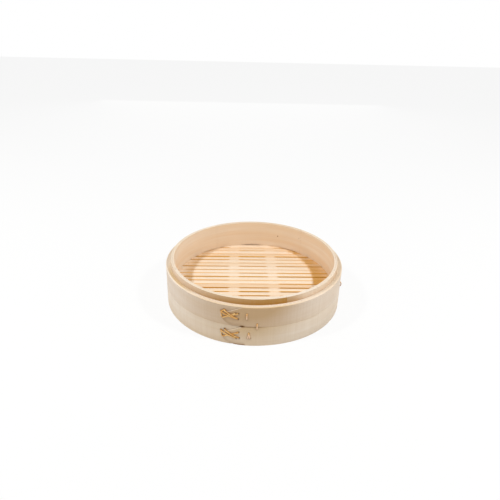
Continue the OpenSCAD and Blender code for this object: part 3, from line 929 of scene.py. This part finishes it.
# The rolled edges are painted darker: painted shade.
edge = add(tree, "Math", {0: across}, operation="ABSOLUTE")
edge = add(tree, "MapRange", {"Value": edge, "From Min": 0.4, "From Max": 0.95})
colour = paint("#F8D08A")
for share, tint in ((patches, "#DFA350"), (worn, "#F2D4B8"), (edge, "#B0741E")):
    colour = add(tree, "Mix", {"Factor": share, "A": colour, "B": paint(tint)}, data_type="RGBA")
lines = add(tree, "Math", {0: across, 1: 7.0}, operation="MULTIPLY")
lines = add(tree, "TexNoise", {"W": lines, "Scale": 1.0, "Detail": 1.0}, noise_dimensions="1D")
bump = add(tree, "Bump", {"Height": lines, "Distance": 0.08 * MM, "Strength": 0.5})
tree.links.new(colour.outputs["Result"], shader.inputs["Base Color"])
tree.links.new(bump.outputs[0], shader.inputs["Normal"])
shader.inputs["Roughness"].default_value = 0.36
print(cane_gold.name, "has", len(tree.nodes), "nodes")

# %% [markdown]
# ## Lacing
#
# A strand could be a curve with a flat profile, but where it dives into a hole a curve likes to
# twist. So it is a short bar again: its edges are rounded, it is cut into short lengths, laid
# along a path that is drawn in the flat, and bent round the wall with the band's own skin as
# its base. The upper strands rise where they cross the lower ones.

# %% A smooth path
def smooth_path(points, steps):
    """Evenly spaced points along a smooth curve through the given ones, and its length."""
    ends = [points[0] * 2 - points[1]] + points + [points[-1] * 2 - points[-2]]
    fine = []
    for p0, p1, p2, p3 in zip(ends, ends[1:], ends[2:], ends[3:]):
        for i in range(12):
            t = i / 12
            fine.append(0.5 * (2 * p1 + (p2 - p0) * t + (2 * p0 - 5 * p1 + 4 * p2 - p3) * t ** 2
                               + (3 * p1 - p0 - 3 * p2 + p3) * t ** 3))
    fine.append(points[-1])
    reach = [0.0]
    for a, b in zip(fine, fine[1:]):
        reach.append(reach[-1] + (b - a).length)
    even, j = [], 0
    for i in range(steps + 1):
        want = reach[-1] * i / steps
        while j < len(reach) - 2 and reach[j + 1] < want:
            j += 1
        share = (want - reach[j]) / max(reach[j + 1] - reach[j], 1e-9)
        even.append(fine[j].lerp(fine[j + 1], min(share, 1)))
    return even, reach[-1]


around = [Vector(point) for point in ((0, 0, 0), (9, 0, 0), (9, 0, 9))]
print(f"smoothly round a corner of two 9 mm sides: {smooth_path(around, 6)[1]:.1f} mm")

# %% Lay one strand
CANE_T, STRAND_CUTS = 1.2, 44
CANE_LEVEL = CANE_T / 2 - 0.1
# How a strand comes out of its hole: [ahead, height] in mm, from a little inside the hole's middle
HOLE_INSET = 0.8
RISE = [(0.0, -2.6), (0.0, -1.1), (0.25, -0.15), (1.0, CANE_LEVEL + 0.1)]


def skin_below(turn):
    """Radius of the skin on which a strand lies: the band, and past its tip the tongue."""
    return outer_r + (lap_skin(turn) - outer_r) * ease_in(turn * skin_mm, -2.5, 0.5)


def strand(name, start, end, heights, width, skin, wear):
    """A strand between two holes. heights are its heights above the skin on the way. wear is
    how pale its lower end is rubbed, and how far out it lies in its holes."""
    a, b = Vector((start[0], 0, start[1])), Vector((end[0], 0, end[1]))
    way = (b - a).normalized()
    out = Vector((0, 1, 0))
    side = way.cross(out)
    inset = HOLE_INSET - wear
    run = (b - a).length - 2 * inset
    path = [a + way * (inset + ahead) + out * rise for ahead, rise in RISE]
    for i, h in enumerate(heights):
        path.append(a + way * (inset + run * (i + 1) / (len(heights) + 1)) + out * (CANE_LEVEL + h))
    path += [b - way * (inset + ahead) + out * rise for ahead, rise in reversed(RISE)]
    points, length = smooth_path(path, STRAND_CUTS)

    piece = bar(name, (0, -CANE_T / 2, -width / 2), (length, CANE_T / 2, width / 2))
    ease_long_edges(piece, CANE_T * 0.48, segments=4)
    cut_short(piece, STRAND_CUTS)
    across, worn = (piece.data.attributes.new(mark, "FLOAT", "POINT") for mark in ("across", "worn"))
    for i, point in enumerate(piece.data.vertices):
        along, thick, wide = point.co / MM
        across.data[i].value = wide / (width / 2)
        worn.data[i].value = wear * ease_in(along / length, 0.1, 0.6)
        at = min(max(along / length * STRAND_CUTS, 0), STRAND_CUTS)
        j = min(int(at), STRAND_CUTS - 1)
        here = points[j].lerp(points[j + 1], at - j)
        ahead = (points[min(j + 2, STRAND_CUTS)] - points[max(j - 1, 0)]).normalized()
        point.co = (here + side.cross(ahead) * thick + side * wide) * MM
    bend(piece, TIP_DIR, lambda turn, depth, up: (skin(turn) + depth, up), outer_r)
    return piece


# %% The lacings and the stitches
def lacing(name, node, holes, strands, skin=skin_below, wear=0.0):
    """Strands joined to one piece. Each is given by two holes, its heights and its width."""
    pieces = [strand(f"{name}_{i}", holes[a], holes[b], heights, width, skin, wear)
              for i, (a, b, heights, width) in enumerate(strands)]
    pick_clean()
    for piece in pieces:
        piece.select_set(True)
    bpy.context.view_layer.objects.active = pieces[0]
    if len(pieces) > 1:
        bpy.ops.object.join()
    pieces[0].name = pieces[0].data.name = name
    finish_piece(pieces[0], node, [cane_gold], smooth=60)


FLAT, BULGE, PROUD = [0.0, 0.0, 0.0], [0.2, 0.3, 0.2], [0.7, 1.1, 0.7]
OVER = [0.4, 1.0, 1.3, 1.0, 0.4]
lacing("cane_upper", "lacing_upper", upper_lace,
       [(0, 2, FLAT, 2.5), (0, 1, [0.2], 2.3), (2, 3, FLAT, 2.4), (2, 4, FLAT, 2.3),
        (0, 5, OVER, 2.5), (1, 5, OVER, 2.5)])
lacing("cane_lower", "lacing_lower", lower_lace,
       [(0, 2, FLAT, 2.5), (2, 3, FLAT, 2.7), (0, 4, OVER, 2.6), (1, 5, OVER, 2.6)])
lacing("cane_stitch_upper", "stitch_upper", stitch_holes(stitch_upper_at),
       [(0, 1, BULGE, 2.6)], wear=0.8)
lacing("cane_stitch_lower", "stitch_lower", stitch_holes(stitch_lower_at, True),
       [(0, 1, FLAT, 2.2), (0, 2, FLAT, 2.2)], wear=1.0)
lacing("cane_stitch_seam", "stitch_seam", stitch_holes(stitch_seam_at),
       [(0, 1, BULGE, 2.6)], wear=0.8)
lacing("cane_stitch_side", "stitch_side", stitch_holes(stitch_side_at),
       [(0, 1, PROUD, 2.6)], skin=lambda turn: outer_r)

# %% [markdown]
# ## The floor
#
# Twenty-two slats lie side by side on the support hoop, with slots for the steam between them. But
# the slats aren't spaced apart: each is as wide as its place, and its sides are pared where a slot
# should be. At the two rods that string them together they keep their width and touch, so the
# floor can't shift. Six slots are wider, six are narrow and mostly stop before the wall, and as
# they are pared by hand, none is even.
#
# The sides of a slat are the yellow flesh of the culm, painted more golden and brighter as the
# light that bounces about in the slots. Near its ends a slat carries painted shade in honey gold,
# where the wall shades the floor. A few slats are from another culm and a shade darker.

# %% The slots
SLAT_COUNT, ROD_SPAN = 22, 70
FLOOR_INSET, FLOOR_SHIFT = 3.2, 4.4
SLOT_W, WIDE_SLOT_W, NARROW_SLOT_W, SLAT_TOUCH = 2.6, 3.5, 1.8, 0.3
# How long the slats touch at a rod, the run-out of a slot, and where a narrow one ends
TOUCH_LEN, SLOT_RUN, SLOT_STOP = 12, 6, 9
WIDE_SLOTS = {7, 8, 9, 12, 15, 18}
NARROW_SLOTS = {5, 11, 14, 16, 19, 20}
# How far a slot is open left of the rods, between them and right of them
OPEN = {7: (1, 0.85, 0.6), 8: (0.7, 1, 1), 9: (1, 0.8, 1), 10: (0.15, 0.4, 1), 11: (0.9, 0.2, 0.15),
        12: (0.8, 0.75, 0.95), 13: (0.3, 0.8, 0.75), 14: (0.95, 0.5, 0.15), 15: (0.9, 0.8, 0.8),
        16: (0.6, 0.8, 0.6), 17: (1, 1, 0.5), 19: (0.15, 0.15, 0.15), 20: (0.3, 1, 0.5),
        21: (0.8, 0.4, 0.9)}
# How dark the darker slats are
SLAT_TONES = {7: 0.3, 8: 0.4, 9: 0.3, 10: 1.0, 11: 0.0, 12: 0.1, 16: 0.5, 18: 0.5, 19: 0.9, 21: 0.7}
slat_pitch = 2 * (hoop_r - FLOOR_INSET) / SLAT_COUNT
print(f"slat pitch {slat_pitch:.2f} mm")


def slot_y(n):
    """Middle of slot n, counted from the front."""
    return (n - SLAT_COUNT / 2) * slat_pitch - FLOOR_SHIFT


def half_opening(n, x):
    """Half the width of slot n at some distance from the middle line."""
    left, middle, right = OPEN.get(n, (1, 1, 1))
    rod, near = ROD_SPAN / 2, TOUCH_LEN / 2
    if n == SLAT_COUNT:
        return SLAT_TOUCH / 2
    full = WIDE_SLOT_W if n in WIDE_SLOTS else NARROW_SLOT_W if n in NARROW_SLOTS else SLOT_W
    outside = right if x > 0 else left
    x = abs(x)
    share = (middle * ease_out(x, rod - near - SLOT_RUN, rod - near)
             + outside * ease_in(x, rod + near, rod + near + SLOT_RUN))
    y = min(abs(slot_y(n)), rim_in - 1)
    wall = math.sqrt(rim_in ** 2 - y ** 2) - SLOT_STOP
    if n in NARROW_SLOTS and wall - SLOT_RUN > rod + near + SLOT_RUN:
        share *= ease_out(x, wall - SLOT_RUN, wall)
    return (SLAT_TOUCH + (full - SLAT_TOUCH) * share) / 2


# %% Pare one slat, and cut it round
SLAT_EASE, SLAT_LEAN, SLAT_LIFT = 0.7, 0.009, 0.12


def painted_crescent_shade(x, y):
    """Painted shade near a slat's ends, where the wall shades the floor: full at the right, faint at the
    left.
    """
    out = math.hypot(x, 0.8 * (y - 12))
    if x > 0:
        return ease_in(out, 105, 109) * (1 - 0.3 * ease_in(out, 118, 134))
    return 0.5 * ease_in(out, 108, 112) * ease_out(out, 112, 134)


def slat(n):
    """Slat n: a bar, pared along its sides, with round ends."""
    y_low, y_high = slot_y(n - 1), slot_y(n)
    nearest = 0 if y_low < 0 < y_high else min(abs(y_low), abs(y_high))
    half = math.sqrt(max(hoop_r ** 2 - nearest ** 2, 0)) + 1
    piece = bar(f"slat_piece_{n:02d}", (-half, y_low, floor_z), (half, y_high, floor_top))
    cut_short(piece, round(half))
    middle = (y_low + y_high) / 2
    for point in piece.data.vertices:
        x, y = point.co.x / MM, point.co.y / MM
        point.co.y = (y_low + half_opening(n - 1, x) if y < middle
                      else y_high - half_opening(n, x)) * MM
    pick_clean()
    bpy.ops.mesh.primitive_cylinder_add(vertices=256, radius=(hoop_r - 0.1) * MM, depth=20 * MM,
                                        location=(0, 0, floor_z * MM))
    cut_with(piece, bpy.context.object, "INTERSECT")
    round_all_edges(piece, SLAT_EASE, limit=50)
    # Wood never lies quite flat: each slat leans and sits by a hair's breadth.
    lean = SLAT_LEAN * noise.noise(Vector((n * 1.7, 4.2, 0.3)))
    lift = SLAT_LIFT * noise.noise(Vector((n * 2.3, 1.1, 7.9)))
    # Here "foot" holds painted shade: the crescents where the wall shades the slat ends.
    tone, foot = (piece.data.attributes.new(mark, "FLOAT", "POINT") for mark in ("tone", "foot"))
    for i, point in enumerate(piece.data.vertices):
        x, y = point.co.x / MM, point.co.y / MM
        tone.data[i].value = SLAT_TONES.get(n, 0.2)
        foot.data[i].value = painted_crescent_shade(x, y)
        point.co.z += (lean * (y - middle) + lift) * MM
    return piece


# %% The slats
def toned(tree, where):
    """The slats from another culm are darker."""
    return add(tree, "Attribute", attribute_name="tone").outputs["Fac"], "#EBCBA6"


def top_or_side(face):
    """1 for the sides of a slat, 0 for the rest."""
    return 1 if abs(face.normal.y) > 0.3 else 0


# Sanded smooth: satin, with fibres along the slat. Its "foot" colour is painted shade near the ends.
slat_top = bamboo("sanded_bamboo_slat", "#F9EAD7", "#F4DDC0", "#E5BF92", (130, 1.4, 1.4), 0.42,
                  streaks=0.8, specks=0.6, foot="#DFA650", more=toned)
# Cut with the knife through the soft flesh: golden and without specks, and painted brighter and
# more golden as the light that bounces about in the slots.
slat_flank_painted_glow = bamboo("bamboo_slat_flank_painted_glow", "#F6C35C", "#EEAE40", "#CF912A", (130, 2, 1.4),
                   0.5, specks=0)
for n in range(1, SLAT_COUNT + 1):
    finish_piece(slat(n), f"slat_{n:02d}", [slat_top, slat_flank_painted_glow], top_or_side, 40)

# %% [markdown]
# ## Under the floor
#
# The support hoop is two plies like the rim's, and two battens lie in notches that are sawn
# through both. A batten is a split half of a thin culm: flat on top, round underneath, with the
# low rings of its nodes left standing. The saw is a bar, taken away from each ply by a boolean.

# %% Support hoop
BATTEN_W, BATTEN_SIDE, NOTCH_FIT = 12, 2, 0.2
batten_z = box_of("batten_left")[0][2]
support_mid = hoop_r - SUPPORT_PLY_T
support_in = support_mid - GLUE - SUPPORT_PLY_T
for name, node, r_in in (("support_hoop_inner", "support_ply_inner", support_in),
                         ("support_hoop_outer", "support_ply_outer", support_mid)):
    piece = ply(name, r_in, r_in + SUPPORT_PLY_T, socket_z, floor_z, 10, 370)
    for x in (-ROD_SPAN / 2, ROD_SPAN / 2):
        saw = bar("saw", (x - BATTEN_W / 2 - NOTCH_FIT, -outer_r, batten_z - NOTCH_FIT),
                  (x + BATTEN_W / 2 + NOTCH_FIT, outer_r, floor_z + 1))
        cut_with(piece, saw)
    finish_piece(piece, node, [honey_side, ply_edge, rim_inside], out_up_in)

# %% Battens
# Where the culm's nodes were, how far their rings stand out, and how deep the groove beside is
NODES_AT, RING_H, GROOVE_H = (-96, 22, 118), 0.35, 0.2
# The skin of the culm, left on: golden and smooth, with fibres along the batten.
batten_skin = bamboo("split_culm_batten", "#E2C79A", "#D3AF78", "#A87E48", (1.2, 130, 1.2), 0.4)


def batten(name, side):
    """A split culm: a bar with a round underside, and low rings where its nodes were."""
    x = side * ROD_SPAN / 2
    reach = math.sqrt(hoop_r ** 2 - (abs(x) + BATTEN_W / 2) ** 2)
    piece = bar(name, (x - BATTEN_W / 2, -reach, batten_z), (x + BATTEN_W / 2, reach, floor_z))
    edit_edges(piece, lambda e: runs_along(e, 1) and e.verts[0].co.z < (batten_z + 1) * MM,
               bpy.ops.mesh.bevel, offset=(floor_z - batten_z - BATTEN_SIDE) * MM, segments=7)
    cut_short(piece, 160, axis=1)
    round_all_edges(piece, 0.4, limit=60)
    for point in piece.data.vertices:
        y = point.co.y / MM * side
        ring = max(math.exp(-((y - at) / 1.6) ** 2) for at in NODES_AT)
        groove = max(math.exp(-((y - at - 3) / 1.2) ** 2) for at in NODES_AT)
        swell = RING_H * ring - GROOVE_H * groove
        share = max(floor_z - 1 - point.co.z / MM, 0) / (floor_z - batten_z)
        point.co.x += swell * share * MM * (0.4 if point.co.x / MM > x else -0.4)
    return piece


for name, node, side in (("batten_piece_left", "batten_left", -1),
                         ("batten_piece_right", "batten_right", 1)):
    finish_piece(batten(name, side), node, [batten_skin], smooth=50)

# %% [markdown]
# ## What still shows of the frame
#
# The pegs and rods are as plain in life as in the frame, so their nodes stay and only get
# their finish.

# %% Finishes for the nodes that stay
# Whittled round, so the cut fibres make it dark and matt.
peg_brown = bamboo("whittled_bamboo_peg", "#A87A4C", "#946439", "#6E4522", (4, 4, 4), 0.6,
                   specks=0)
for name in ("rim_pegs", "support_pegs", "rod_left", "rod_right"):
    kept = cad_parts[name].data.materials
    kept.clear()
    kept.append(peg_brown)
    print(name, "is", peg_brown.name)
